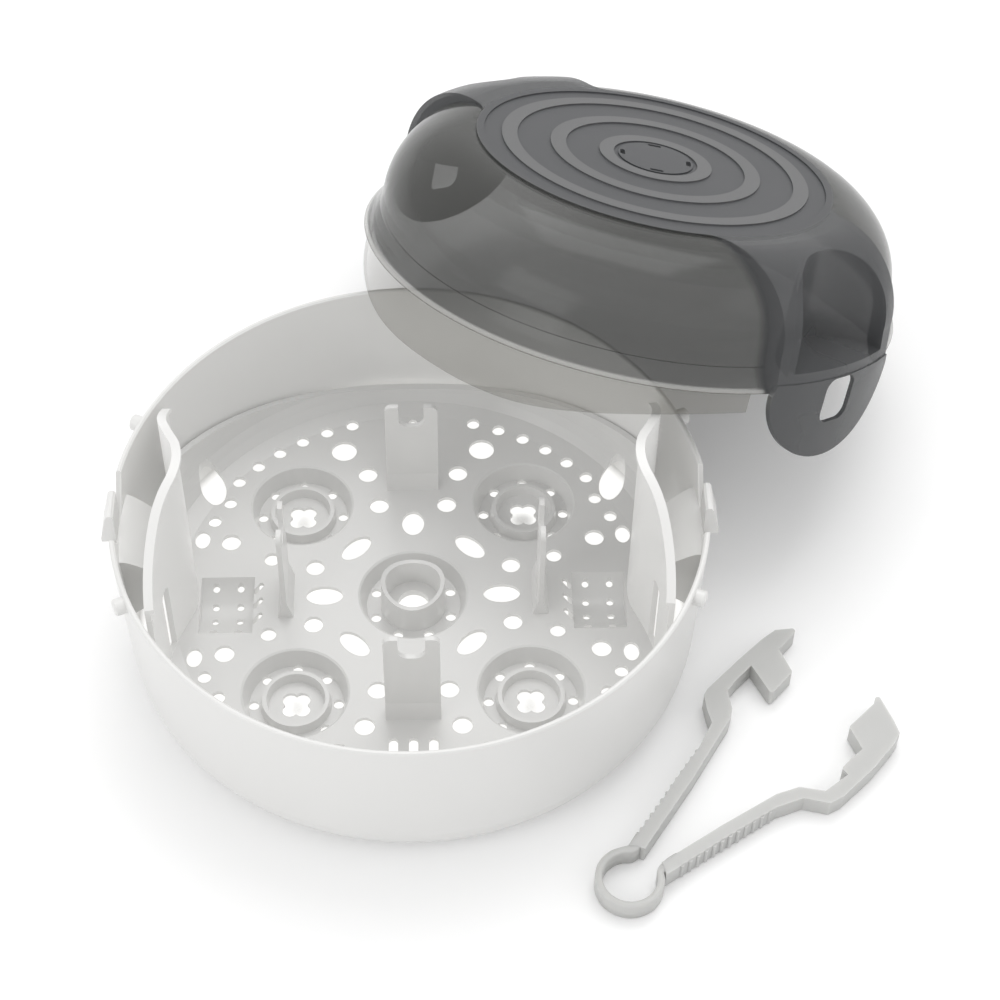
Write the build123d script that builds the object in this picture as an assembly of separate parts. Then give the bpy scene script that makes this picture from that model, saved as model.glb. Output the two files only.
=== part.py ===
from build123d import *
from math import asin, cos, degrees, pi, radians, sin, sqrt
import os

# Microwave bottle sterilizer, in millimetres.
# The origin is the centre of the base's underside, with +Z up, the two side grips on X and the front at -Y.

# Fits between the pieces
REST_GAP = 0.3            # a loose piece to what it stands on
SEAT_GAP = 0.3            # the closed lid's seat to the base rim
SLIP = 0.8                # the lid's tabs to the outside of the base
SKIRT_SLIP = 0.5          # the lid's skirt to the inside of the base
THUMB_GAP = 1.2           # the lid's finger pocket to the rack handle inside it

# Base bowl
BASE_RIM_R = 140.0        # outside radius at the rim
BASE_DRAFT = 2.0          # how much the wall draws in on its way down to the bottom corner
BASE_H = 90.0
BASE_CORNER = 20.0        # outside radius of the bottom corner
RIM_BREAK = 0.7           # chamfer round the rim
BASE_WALL = 2.5
BASE_FLOOR = 2.5
FOOT_RING_R = 104.0       # the low ring that the base stands on
FOOT_RING_W = 5.0
FOOT_RING_H = 1.0

# Base grips: a dip in the rim, a sloped ledge behind it and a wedge hook outside
DIP_HALF = 21.0           # half the length of the dip along the rim
DIP_DEPTH = 17.0
DIP_FLANK = 11.0          # length over which the rim falls into the dip
TONGUE_HALF = 8.0         # half the width of the tongue and its hook
HOOK_TOP = 1.0            # how far the tongue stands above the rim
HOOK_TALL = 18.0
HOOK_THIN = 1.2           # how proud the hook is at its top
HOOK_PROUD = 4.6          # how proud it is at its catch
LEDGE_IN = 17.0           # how far the ledge reaches in from the wall
LEDGE_DROP = 9.0          # how far it falls on the way
PEG_Y = 54.0
PEG_D = 8.0
PEG_BELOW_RIM = 5.0
PEG_PROUD = 5.2

# Rack
RACK_Z = 18.0             # top of the rack floor
RACK_FLOOR = 2.2
RACK_GAP = 1.4            # rack edge to the inside of the base
RACK_EDGE_W = 24.0        # the base rim's radius less this is where the rack floor starts to turn up
RACK_EDGE_LOW = 7.2       # height of the edge at the front and back
RACK_EDGE_SWEEP = 308.0   # radius, seen from the front, of the edge's climb towards the sides
RACK_WALL = 2.4

# Rack side handles
HANDLE_GAP = 0.5          # the handle's ends to the inside of the closed lid's skirt
HANDLE_BEND_R = 30.0      # plan radius of the inward bend at the handle's middle
HANDLE_BEND_HALF = 26.0   # degrees of that bend to either side
HANDLE_WING_R = 90.0      # plan radius of the two wings
HANDLE_END_Y = 60.5
HANDLE_MID_TOP = 106.0    # above the rack floor, at the middle
HANDLE_KNEE_Y = 31.0      # the top is an arc out to here and straight beyond
HANDLE_KNEE_DROP = 11.0
HANDLE_T = 2.6
HANDLE_LIP = 4.2          # width of the rolled top, which grows inwards
HANDLE_LIP_H = 2.6
HANDLE_SLOT_Y = 31.5
HANDLE_SLOT_W = 8.0
HANDLE_SLOT_TOP = 47.0

# Bottle cups
CUP_X = 56.0
CUP_Y = 57.4
CUP_R = 26.0
CUP_MOAT_DEPTH = 10.0
CUP_RING_R = 16.0
CUP_RING_BELOW = 4.5
CUP_WALL = 2.0
CUP_LIP = 2.0             # the flat round a cup that meets the floor
CUP_HOLES = 8
CUP_HOLE_D = 5.0
CUP_HOLE_R = 20.2
CUP_LOBE_D = 7.6          # the middle drain is four round lobes
CUP_LOBE_R = 4.0

# Centre collar
COLLAR_R = 15.5
COLLAR_WALL = 2.0
COLLAR_TOP = 10.9
COLLAR_SADDLE = 3.3
COLLAR_WELL = 6.7
COLLAR_DRAIN = 15.0
COLLAR_MOAT_R = 27.0
COLLAR_MOAT_DEPTH = 8.7
COLLAR_HOLE_R = 19.8

# Upright notched posts
POST_Y = 70.0
POST_X = 62.0
POST_HALF = 13.0
POST_TALL = 60.0
POST_T = 2.4
POST_NOTCH_W = 12.5
POST_NOTCH_DEEP = 14.0
POST_FOOT = 2.5
POST_HORN_R = 3.6

# Drain holes in the rack floor
HOLE_SMALL = 6.5
HOLE_ROW_IN = 1.2         # the outer row of holes inside the edge of the flat floor
HOLE_ROW_FIRST = 15.9     # degrees from the front to the row's first hole
HOLE_ROW_STEP = 6.9
HOLE_ROW_COUNT = 6
HOLE_MID = 9.6
HOLE_BIG = 13.0
SLOT_W = 4.3
SLOT_PITCH = 9.4
SLOT_LONG = 30.0
SLOT_END_IN = 2.0         # the slots' outer ends inside the edge of the flat floor

# Teat troughs beside the grips
TROUGH_FROM_HANDLE = 14.0
TROUGH_Y = -5.0
TROUGH_LEN = 26.0
TROUGH_R = 22.0
TROUGH_DEEP = 8.0
TROUGH_HOLE = 3.6

# Lid, measured in its own frame: its seat on the rim at zero, its finger pockets on X
LID_INSET = 1.0           # the dome's foot inside the edge of the base rim that it sits on
LID_T = 2.2
DOME_FLARE = 7.0          # how much the dome draws in above its flared foot
DOME_FLARE_H = 18.0
DOME_TOP = 58.3
SKIRT_DEEP = 28.5
SKIRT_SHALLOW = 11.0
SKIRT_T = 1.8
SKIRT_END_Y = 49.0        # the skirt stops here, beside the tab
STRAP_HALF = 42.5
STRAP_LEAN = 2.5
STRAP_LEAN_H = 20.0
STRAP_PROUD = 1.0         # how far the strap and its disc stand above the dome's top
STRAP_DISC_R = 92.0
STRAP_BLEND = 14.0
TAB_HALF = 44.5
TAB_DEEP = 37.5
TAB_HOLE_W = 21.0         # the hole in each tab, which the hook snaps into
TAB_HOLE_TOP = 5.5
TAB_HOLE_LOW = -18.5
TAB_HOLE_ROUND = 6.0
POCKET_R = 34.5
POCKET_FLOOR = 11.0
RING_EDGES = [(79.0, 71.0), (54.0, 46.0), (29.0, 21.5)]
ZONE_DEEP = 0.8           # how deep the zones between the rings are
VENT_R = 17.0
VENT_LONG = 7.0
VENT_WIDE = 2.4

# Where the open lid leans, from the photograph
LID_AT = (113.5, 164.83, 79.71)
LID_X_DIR = (0.656, -0.7407, 0.1453)
LID_Z_DIR = (0.1882, 0.3469, 0.9188)

# Tongs, lying on the table
TONGS_H = 10.5            # height of the strip
TONGS_T = 3.4             # thickness of the loop
LOOP_IN = 42.7            # the loop's middle, in from the right edge of the base rim
LOOP_OUT = 15.0           # and out from its front edge
LOOP_R = 16.0
MOUTH_LOW = 26.0          # the loop is open between these angles
MOUTH_HIGH = 62.0
TONGS_SPLIT = 0.3         # moving pieces of the tongs to each other
TONGS_ROUND = 1.4         # radius of the arms' outer corners


def ring(outer, inner, low, high):
    """A plain ring about Z."""
    body = Pos(0, 0, low) * Cylinder(outer, high - low, align=(Align.CENTER, Align.CENTER, Align.MIN))
    return body - Pos(0, 0, low) * Cylinder(inner, high - low, align=(Align.CENTER, Align.CENTER, Align.MIN))


def post_hole(x, y, d, low, high, d2=None, turn=0.0):
    """A straight cutter down Z, round or elliptic."""
    shape = Circle(d / 2) if d2 is None else Ellipse(d / 2, d2 / 2)
    return Pos(x, y, low) * extrude(Rot(0, 0, turn) * shape, high - low)


def wall_radius(z):
    """Outside radius of the base at a height above its bottom corner."""
    part = (BASE_H - z) / (BASE_H - BASE_CORNER)
    return BASE_RIM_R - BASE_DRAFT * part


def arc_points(x, y, r, first, last, count):
    """Points on an arc, for corners that are turned as a few cones."""
    steps = [first + (last - first) * k / count for k in range(count + 1)]
    return [(x + r * cos(radians(a)), y + r * sin(radians(a))) for a in steps]


def both_sides(shape):
    """The shape and its mirror image across YZ."""
    return shape + mirror(shape, Plane.YZ)


def bowl_profile(inset, floor_z, sides):
    """Half section of the bowl, filled, moved in by a wall, its corner turned as a few cones."""
    corner = BASE_CORNER - inset
    r_low = BASE_RIM_R - BASE_DRAFT - inset
    r_top = BASE_RIM_R - inset
    side = Line((r_top, BASE_H), (r_low, BASE_CORNER))
    turn = Polyline(*arc_points(r_low - corner, BASE_CORNER, corner, 0, -90, sides))
    low = BASE_CORNER - corner
    rest = Polyline((r_low - corner, low), (0, floor_z), (0, BASE_H), (r_top, BASE_H))
    return make_face(Plane.XZ * Wire([*side.edges(), *turn.edges(), *rest.edges()]))


def rim_dip():
    """What is cut from the wall so that the rim falls at a grip."""
    top = BASE_H + 5
    low = BASE_H - DIP_DEPTH
    a = DIP_HALF
    b = DIP_HALF - DIP_FLANK
    left = Bezier((-a - 4, top), (-a, top - 3), (-a + 1, BASE_H - 2), (-b - 3, low + 2), (-b + 2, low))
    right = Bezier((b - 2, low), (b + 3, low + 2), (a - 1, BASE_H - 2), (a, top - 3), (a + 4, top))
    face = make_face(Wire([*left.edges(), *Line((-b + 2, low), (b - 2, low)).edges(), *right.edges(),
                           *Line((a + 4, top), (-a - 4, top)).edges()]))
    return extrude(Plane.YZ * face, BASE_RIM_R + 10)


def grip_ledge():
    """The sloped ledge behind the dip, a thin shell closed at both ends."""
    r_wall = wall_radius(BASE_H - DIP_DEPTH) - BASE_WALL / 2
    top = BASE_H - DIP_DEPTH
    nose = r_wall - LEDGE_IN
    low = top - LEDGE_DROP

    def section(inset):
        pts = [(r_wall, top - inset), (r_wall - 5, top - 1.5 - inset), (nose + 5, low + 2 - inset)]
        path = Spline(*pts, (nose + inset, low - 8), tangents=((-1, 0), (0, -1)))
        back = Polyline((nose + inset, low - 8), (nose + inset + 2, low - 24), (r_wall, low - 34),
                        (r_wall, top - inset))
        return make_face(Plane.XZ * Wire([*path.edges(), *back.edges()]))

    half = degrees(asin(DIP_HALF / BASE_RIM_R))
    thin = degrees(asin((DIP_HALF - BASE_WALL) / BASE_RIM_R))
    outer = Rot(0, 0, -half) * revolve(section(0), Axis.Z, 2 * half)
    inner = Rot(0, 0, -thin) * revolve(section(BASE_WALL), Axis.Z, 2 * thin)
    drain = Pos(r_wall - 9, 0, low - 30) * Box(20, 14, 24)
    return outer - inner - drain


def hook():
    """The tongue in the dip and the wedge hook on its outside."""
    r = wall_radius(BASE_H)
    top = BASE_H + HOOK_TOP
    low = top - HOOK_TALL
    pts = [(r - BASE_WALL, top - 1), (r - BASE_WALL, low - 6), (r - 0.6, low - 6), (r - 0.6, low),
           (r + HOOK_PROUD, low), (r + HOOK_PROUD, low + 2.5), (r + HOOK_THIN, top - 1.5),
           (r + HOOK_THIN - 1, top), (r - BASE_WALL + 1, top)]
    face = make_face(Plane.XZ * Polyline(*pts, close=True))
    return extrude(face, TONGUE_HALF, both=True)


def peg(side):
    """One round peg that the lid's skirt fits round."""
    z = BASE_H - PEG_BELOW_RIM
    angle = degrees(asin(PEG_Y / BASE_RIM_R)) * side
    r_out = wall_radius(z) + PEG_PROUD
    body = Rot(0, 90, 0) * Cylinder(PEG_D / 2, PEG_PROUD + BASE_WALL / 2)
    body = chamfer(body.edges().filter_by(GeomType.CIRCLE), 0.8)
    return Rot(0, 0, angle) * (Pos(r_out - (PEG_PROUD + BASE_WALL / 2) / 2, 0, z) * body)


def make_base():
    """The water bowl."""
    bowl = revolve(bowl_profile(0, 0, 6), Axis.Z, 360)
    bowl -= revolve(bowl_profile(BASE_WALL, BASE_FLOOR, 4), Axis.Z, 360)
    hollow = Cylinder(FOOT_RING_R - FOOT_RING_W, FOOT_RING_H, align=(Align.CENTER, Align.CENTER, Align.MIN))
    bowl -= hollow
    rim = bowl.edges().filter_by(GeomType.CIRCLE).sort_by(Axis.Z)[-2:]
    bowl = chamfer(rim, RIM_BREAK)
    bowl -= both_sides(rim_dip())
    bowl += both_sides(grip_ledge())
    bowl += both_sides(hook())
    for side in (1, -1):
        bowl += both_sides(peg(side))
    return bowl


def rack_edge_radius(z):
    """Outside radius of the rack edge, which follows the inside of the base."""
    return wall_radius(z) - BASE_WALL - RACK_GAP


def rack_flat_radius():
    """The rack floor is flat out to this radius."""
    return BASE_RIM_R - RACK_EDGE_W


def rack_shell():
    """The rack floor with its upturned edge, before the holes."""
    z0 = RACK_Z - RACK_FLOOR
    top = RACK_Z + HANDLE_MID_TOP
    r_low = rack_edge_radius(RACK_Z + 12)
    r_top = rack_edge_radius(top)
    flat = rack_flat_radius()

    def section(inset, low):
        pts = [(0, low), (flat, low), (flat + 9, low + 1.8), (r_low - 3.6 - inset, low + 6),
               (r_low - 0.9 - inset, low + 10.5), (r_low - inset, low + 17), (r_top - inset, top), (0, top)]
        return make_face(Plane.XZ * Polyline(*pts, close=True))

    return revolve(section(0, z0), Axis.Z, 360) - revolve(section(RACK_WALL, RACK_Z), Axis.Z, 360)


def edge_trim():
    """What lies above the rack's rising edge, from side to side."""
    half = BASE_RIM_R - 20
    low = RACK_Z + RACK_EDGE_LOW
    rise = RACK_EDGE_SWEEP - sqrt(RACK_EDGE_SWEEP ** 2 - half ** 2)
    curve = ThreePointArc((-half, low + rise), (0, low), (half, low + rise))
    reach = BASE_RIM_R + 10
    high = RACK_Z + HANDLE_MID_TOP + 20
    ends = Polyline((half, low + rise), (reach, low + rise), (reach, high), (-reach, high), (-reach, low + rise),
                    (-half, low + rise))
    face = make_face(Plane.XZ * Wire([*curve.edges(), *ends.edges()]))
    return extrude(face, BASE_RIM_R, both=True)


def handle_bends():
    """Plan centres of a handle's middle bend and of its back wing, and the angle at which the wing ends."""
    turn = radians(HANDLE_BEND_HALF)
    wing_y = (HANDLE_BEND_R + HANDLE_WING_R) * sin(turn)
    end = asin((HANDLE_END_Y - wing_y) / HANDLE_WING_R)
    outside = HANDLE_WING_R + HANDLE_T
    corner_r = skirt_radius() - SKIRT_T - HANDLE_GAP
    corner_y = wing_y + outside * sin(end)
    wing_x = sqrt(corner_r ** 2 - corner_y ** 2) - outside * cos(end)
    bend_x = wing_x + (HANDLE_BEND_R + HANDLE_WING_R) * cos(turn)
    return bend_x, wing_x, wing_y, degrees(end)


def handle_mid_x():
    """Where the inner face of a handle crosses the middle."""
    return handle_bends()[0] - HANDLE_BEND_R


def handle_curve(out):
    """Plan line of a side handle from back to front, moved out from its inner face."""
    bend_x, wing_x, wing_y, end = handle_bends()
    half = HANDLE_BEND_HALF
    back = CenterArc((wing_x, wing_y), HANDLE_WING_R + out, end, -half - end)
    middle = CenterArc((bend_x, 0), HANDLE_BEND_R - out, 180 - half, 2 * half)
    front = CenterArc((wing_x, -wing_y), HANDLE_WING_R + out, half, -half - end)
    return back, middle, front


def handle_plan(thick):
    """Plan face of a side handle, or of its lip, which grows inwards."""
    inner = handle_curve(HANDLE_T - thick)
    outer = handle_curve(HANDLE_T)
    edges = [*inner, *outer, Line(inner[0] @ 0, outer[0] @ 0), Line(inner[2] @ 1, outer[2] @ 1)]
    return make_face(Wire([e for part in edges for e in part.edges()]))


def handle_top(drop, low):
    """Side view of a handle below its curved top, lowered by a drop."""
    knee_y = HANDLE_KNEE_Y
    top = RACK_Z + HANDLE_MID_TOP - drop
    knee = top - HANDLE_KNEE_DROP
    crown = (knee_y ** 2 + HANDLE_KNEE_DROP ** 2) / (2 * HANDLE_KNEE_DROP)
    fall = knee_y / (crown - HANDLE_KNEE_DROP)
    end_y = HANDLE_END_Y + 1
    end = knee - fall * (end_y - knee_y)
    curve = ThreePointArc((-knee_y, knee), (0, top), (knee_y, knee))
    rest = Polyline((knee_y, knee), (end_y, end), (end_y, low), (-end_y, low), (-end_y, end), (-knee_y, knee))
    return make_face(Wire([*curve.edges(), *rest.edges()]))


def outside_handles():
    """The space outside both handles, which the floor stays out of."""
    inner = handle_curve(0)
    far = BASE_RIM_R + 5
    start = inner[0] @ 0
    stop = inner[2] @ 1
    rest = Polyline(stop, (far, stop.Y), (far, start.Y), start)
    face = make_face(Wire([e for part in (*inner, rest) for e in part.edges()]))
    return both_sides(extrude(face, RACK_Z + HANDLE_MID_TOP))


def side_handle():
    """One tall side handle with its rolled lip and its two long slots."""
    z0 = RACK_Z - RACK_FLOOR
    sheet = extrude(Pos(0, 0, z0) * handle_plan(HANDLE_T), HANDLE_MID_TOP + RACK_FLOOR + 1)
    sheet &= extrude(Plane.YZ * handle_top(0, z0), BASE_RIM_R)
    lip = extrude(Pos(0, 0, z0) * handle_plan(HANDLE_LIP), HANDLE_MID_TOP + RACK_FLOOR + 1)
    lip &= extrude(Plane.YZ * handle_top(0, z0), BASE_RIM_R)
    lip -= extrude(Plane.YZ * handle_top(HANDLE_LIP_H, z0 - 1), BASE_RIM_R)
    body = sheet + lip
    for side in (1, -1):
        low = RACK_Z + 1.0
        high = RACK_Z + HANDLE_SLOT_TOP
        slot = Rectangle(HANDLE_SLOT_W, high - low)
        cutter = extrude(Plane.YZ * (Pos(HANDLE_SLOT_Y * side, (low + high) / 2) * slot), BASE_RIM_R)
        cutter = fillet(cutter.edges().filter_by(Axis.X).group_by(Axis.Z)[-1], HANDLE_SLOT_W * 0.45)
        body -= cutter
    return body


def cup_body():
    """A bottle cup below the floor: a moat round a raised ring with a low middle."""
    z = RACK_Z
    low = z - CUP_MOAT_DEPTH
    ring_top = z - CUP_RING_BELOW
    pts = [(CUP_R + 0.5, z - RACK_FLOOR), (CUP_R + 0.5, low - CUP_WALL), (0, low - CUP_WALL), (0, low),
           (CUP_RING_R - CUP_WALL - 1, low), (CUP_RING_R - CUP_WALL, ring_top), (CUP_RING_R, ring_top),
           (CUP_RING_R + 1, low), (CUP_R - CUP_WALL - 1.5, low), (CUP_R - 1, z - 0.6), (CUP_R, z),
           (CUP_R + CUP_LIP, z), (CUP_R + CUP_LIP, z - RACK_FLOOR)]
    return revolve(make_face(Plane.XZ * Polyline(*pts, close=True)), Axis.Z, 360)


def cup_cuts():
    """Drain holes of one bottle cup, with the four-lobed one in the middle."""
    low = RACK_Z - CUP_MOAT_DEPTH - CUP_WALL - 1
    high = RACK_Z - CUP_MOAT_DEPTH + 1
    lobes = Circle(CUP_LOBE_D / 2)
    for k in range(4):
        a = radians(45 + 90 * k)
        lobes += Pos(CUP_LOBE_R * cos(a), CUP_LOBE_R * sin(a)) * Circle(CUP_LOBE_D / 2)
    cuts = Pos(0, 0, low) * extrude(lobes, high - low)
    for k in range(CUP_HOLES):
        a = 2 * pi * k / CUP_HOLES
        cuts += post_hole(CUP_HOLE_R * cos(a), CUP_HOLE_R * sin(a), CUP_HOLE_D, low, high)
    return cuts


def collar_body():
    """The centre collar with its moat and its saddle-cut top."""
    z = RACK_Z
    low = z - COLLAR_MOAT_DEPTH
    well = z - COLLAR_WELL
    inner = COLLAR_R - COLLAR_WALL
    pts = [(COLLAR_MOAT_R + 0.5, z - RACK_FLOOR), (COLLAR_MOAT_R + 0.5, low - CUP_WALL),
           (0, low - CUP_WALL), (0, well), (inner - 0.5, well), (inner, z + COLLAR_TOP),
           (COLLAR_R, z + COLLAR_TOP), (COLLAR_R + 0.6, low), (COLLAR_MOAT_R - CUP_WALL - 2, low),
           (COLLAR_MOAT_R - 1, z - 0.6), (COLLAR_MOAT_R, z), (COLLAR_MOAT_R + CUP_LIP, z),
           (COLLAR_MOAT_R + CUP_LIP, z - RACK_FLOOR)]
    body = revolve(make_face(Plane.XZ * Polyline(*pts, close=True)), Axis.Z, 360)
    saddle_r = (COLLAR_R ** 2 + COLLAR_SADDLE ** 2) / (2 * COLLAR_SADDLE)
    saddle = Rot(90, 0, 0) * Cylinder(saddle_r, 4 * COLLAR_R)
    return body - Pos(0, 0, z + COLLAR_TOP - COLLAR_SADDLE + saddle_r) * saddle


def collar_cuts():
    """Drain holes of the collar."""
    low = RACK_Z - COLLAR_MOAT_DEPTH - CUP_WALL - 1
    high = RACK_Z - COLLAR_WELL + 1
    cuts = post_hole(0, 0, COLLAR_DRAIN, low, high)
    for k in range(CUP_HOLES):
        a = 2 * pi * (k + 0.5) / CUP_HOLES
        cuts += post_hole(COLLAR_HOLE_R * cos(a), COLLAR_HOLE_R * sin(a), CUP_HOLE_D, low, high - 2.2)
    return cuts


def notched_post():
    """One upright, facing +Y at the origin, with a round-horned notch at its top."""
    tall = POST_TALL
    outline = Rectangle(2 * POST_HALF, tall, align=(Align.CENTER, Align.MIN))
    outline = fillet(outline.vertices().group_by(Axis.Y)[-1], POST_HORN_R)
    notch = Pos(0, tall - POST_NOTCH_DEEP) * Rectangle(POST_NOTCH_W, 2 * POST_NOTCH_DEEP,
                                                       align=(Align.CENTER, Align.MIN))
    notch = fillet(notch.vertices().group_by(Axis.Y)[0], POST_NOTCH_W * 0.4)
    plate = extrude(Plane.XZ * (outline - notch), POST_T / 2, both=True)
    wedge = Polyline((-POST_T / 2 - POST_FOOT, 0), (POST_T / 2 + POST_FOOT, 0), (POST_T / 2, 4 * POST_FOOT),
                     (-POST_T / 2, 4 * POST_FOOT), close=True)
    foot = extrude(Plane.YZ * make_face(wedge), POST_HALF, both=True)
    return plate + foot


def trough_x():
    """Middle of a trough, measured from the handle beside it."""
    return handle_mid_x() - TROUGH_FROM_HANDLE


def teat_trough():
    """The round-bottomed trough beside a grip, for small parts."""
    half = TROUGH_LEN / 2
    z = RACK_Z + TROUGH_R - TROUGH_DEEP
    tool = Pos(trough_x(), TROUGH_Y, z) * (Rot(0, 90, 0) * Cylinder(TROUGH_R, 2 * half))
    shell = Pos(trough_x(), TROUGH_Y, z) * (Rot(0, 90, 0) * Cylinder(TROUGH_R + RACK_FLOOR, 2 * half + 4))
    below = Pos(trough_x(), TROUGH_Y, RACK_Z) * Box(2 * half + 4, 3 * TROUGH_R, 30,
                                                     align=(Align.CENTER, Align.CENTER, Align.MAX))
    return shell & below, tool


def trough_holes():
    """The fine holes and slanted slits of one trough."""
    low = RACK_Z - TROUGH_DEEP - 6
    high = RACK_Z + 2
    cuts = []
    for x in (-6, 6):
        for k in range(4):
            cuts.append(post_hole(trough_x() + x, TROUGH_Y + 13.1 - 9 * k, TROUGH_HOLE, low, high))
    for k in range(3):
        slit = SlotCenterToCenter(5, 2.4)
        cuts.append(Pos(trough_x() - 15, TROUGH_Y + 10 - 9 * k, low) * extrude(Rot(0, 0, -55) * slit, high - low))
    return cuts


def floor_holes():
    """Every drain hole in the flat of the floor, made in one quarter and mirrored."""
    low = RACK_Z - RACK_FLOOR - 6
    high = RACK_Z + 12
    quarter = []
    row = rack_flat_radius() - HOLE_ROW_IN
    for k in range(HOLE_ROW_COUNT):
        a = radians(HOLE_ROW_FIRST + k * HOLE_ROW_STEP)
        quarter.append(post_hole(row * sin(a), row * cos(a), HOLE_SMALL, low, high))
    quarter.append(post_hole(92.3, 59.3, HOLE_SMALL, low, high))
    quarter.append(post_hole(99.5, 47.5, HOLE_SMALL, low, high))
    quarter.append(post_hole(35.4, 93, HOLE_BIG, low, high))
    quarter.append(post_hole(23, 77, HOLE_MID, low, high))
    quarter.append(post_hole(17, 56.5, HOLE_MID, low, high))
    quarter.append(post_hole(90.7, 34, HOLE_MID, low, high))
    quarter.append(post_hole(48.4, 17.4, HOLE_MID - 0.4, low, high))
    quarter.append(post_hole(70, 22.9, HOLE_MID - 2, low, high))
    quarter.append(post_hole(28.3, 29.3, 18, low, high, 10, -45))
    quarter.append(post_hole(101.5, 69, 12.6, low, high, 22, -15))
    quarter.append(post_hole(105, 36, 7.5, low, high, 11))
    cuts = []
    for tool in quarter:
        for flip_x in (False, True):
            one = mirror(tool, Plane.YZ) if flip_x else tool
            cuts.append(one)
            cuts.append(mirror(one, Plane.XZ))
    for side in (1, -1):
        cuts.append(post_hole(0, 44.7 * side, 11, low, high, 15))
        cuts.append(post_hole(43.4 * side, 0, 18, low, high, 11))
        for k in (-1, 0, 1):
            slot = Rot(0, 0, 90) * SlotOverall(SLOT_LONG, SLOT_W)
            place = Pos(k * SLOT_PITCH, side * (rack_flat_radius() - SLOT_END_IN - SLOT_LONG / 2), low)
            cuts.append(place * extrude(slot, high - low))
    return cuts


def rack_foot():
    """A short tube under a cup, which stands on the bottom of the base."""
    top = RACK_Z - CUP_MOAT_DEPTH - CUP_WALL / 2
    return ring(CUP_RING_R - 2, CUP_RING_R - 4, max(BASE_FLOOR, BASE_WALL) + REST_GAP, top)


def rack_floor(holes, grips):
    """The flat floor with its troughs, and its upturned edge, which runs round the front and the back."""
    shell = rack_shell() - edge_trim() - outside_handles()
    core = Cylinder(rack_flat_radius(), RACK_Z + 10, align=(Align.CENTER, Align.CENTER, Align.MIN))
    floor = shell & core
    for sx in (1, -1):
        for sy in (1, -1):
            floor -= Pos(CUP_X * sx, CUP_Y * sy, 0) * post_hole(0, 0, 2 * (CUP_R + CUP_LIP), RACK_Z - 4, RACK_Z + 4)
    floor -= post_hole(0, 0, 2 * (COLLAR_MOAT_R + CUP_LIP), RACK_Z - 4, RACK_Z + 4)
    trough_shell, trough = teat_trough()
    floor += both_sides(trough_shell)
    floor -= both_sides(trough)
    floor = floor.cut(*holes)
    for tool in trough_holes():
        floor = floor.cut(tool, mirror(tool, Plane.YZ))
    edge = (shell - core).cut(*holes) - grips
    return floor - grips, edge.solids().sort_by(Axis.Y)


def make_rack():
    """The bottle rack: one moulding, given as its floor and edge, its handles, posts, cups and collar."""
    holes = floor_holes()
    grips = both_sides(side_handle())
    floor, edges = rack_floor(holes, grips)
    pieces = {"rack": floor}
    for name, piece in zip(("front", "back"), edges):
        pieces[f"rack_edge_{name}"] = piece
    for name, piece in zip(("left", "right"), grips.cut(*holes).solids().sort_by(Axis.X)):
        pieces[f"rack_handle_{name}"] = piece
    post = notched_post()
    places = {"back": (0, POST_Y), "front": (180, POST_Y), "left": (90, POST_X), "right": (270, POST_X)}
    for name, (turn, reach) in places.items():
        pieces[f"rack_post_{name}"] = Rot(0, 0, turn) * (Pos(0, reach, RACK_Z) * post)
    cup = cup_body() - cup_cuts() + rack_foot()
    for x_name, sx in (("left", -1), ("right", 1)):
        for y_name, sy in (("front", -1), ("back", 1)):
            pieces[f"rack_cup_{x_name}_{y_name}"] = Pos(CUP_X * sx, CUP_Y * sy, 0) * cup
    pieces["rack_collar"] = collar_body() - collar_cuts()
    return pieces


def lid_radius():
    """Outside radius of the dome's foot."""
    return BASE_RIM_R - LID_INSET


def dome_radius():
    """Outside radius of the dome above its flared foot."""
    return lid_radius() - DOME_FLARE


def dome_section(grow, sides):
    """Half section of the dome, filled, grown or shrunk by a thickness, its bend an arc or a few cones."""
    r0 = lid_radius() + grow
    r1 = dome_radius() + grow
    top = DOME_TOP + grow
    turn = top - DOME_FLARE_H
    bell = (DOME_FLARE ** 2 + DOME_FLARE_H ** 2) / (2 * DOME_FLARE)
    half = asin(DOME_FLARE_H / bell)
    flare = [(r1 + bell * (1 - cos(half * k / 3)), DOME_FLARE_H - bell * sin(half * k / 3)) for k in (3, 2, 1, 0)]
    if sides:
        bend = Polyline(*arc_points(r1 - turn, DOME_FLARE_H, turn, 0, 90, sides))
    else:
        bend = CenterArc((r1 - turn, DOME_FLARE_H), turn, 0, 90)
    rest = Polyline((r1 - turn, top), (0, top), (0, 0), (r0, 0))
    return make_face(Plane.XZ * Wire([*Polyline(*flare).edges(), *bend.edges(), *rest.edges()]))


def strap_section(grow, sides):
    """Half section of the strap, filled, grown or shrunk by a thickness, its bend an arc or a few cones."""
    r0 = tab_radius() + grow
    r1 = r0 - STRAP_LEAN
    top = DOME_TOP + STRAP_PROUD + grow
    turn = top - STRAP_LEAN_H
    side = Line((r0, 0), (r1, STRAP_LEAN_H))
    if sides:
        bend = Polyline(*arc_points(r1 - turn, STRAP_LEAN_H, turn, 0, 90, sides))
    else:
        bend = CenterArc((r1 - turn, STRAP_LEAN_H), turn, 0, 90)
    rest = Polyline((r1 - turn, top), (0, top), (0, 0), (r0, 0))
    return make_face(Plane.XZ * Wire([*side.edges(), *bend.edges(), *rest.edges()]))


def tab_radius():
    """Outside radius of the two tabs, which hang clear of the base wall."""
    return BASE_RIM_R + SLIP + LID_T


def strap_plan(grow):
    """Plan of the strap: a disc with an arm to each side."""
    shape = Circle(STRAP_DISC_R + grow) + Rectangle(2 * lid_radius() + 30, 2 * (STRAP_HALF + grow))
    inner = [v for v in shape.vertices() if abs(v.X) < STRAP_DISC_R + 5]
    return fillet(inner, STRAP_BLEND)


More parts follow.
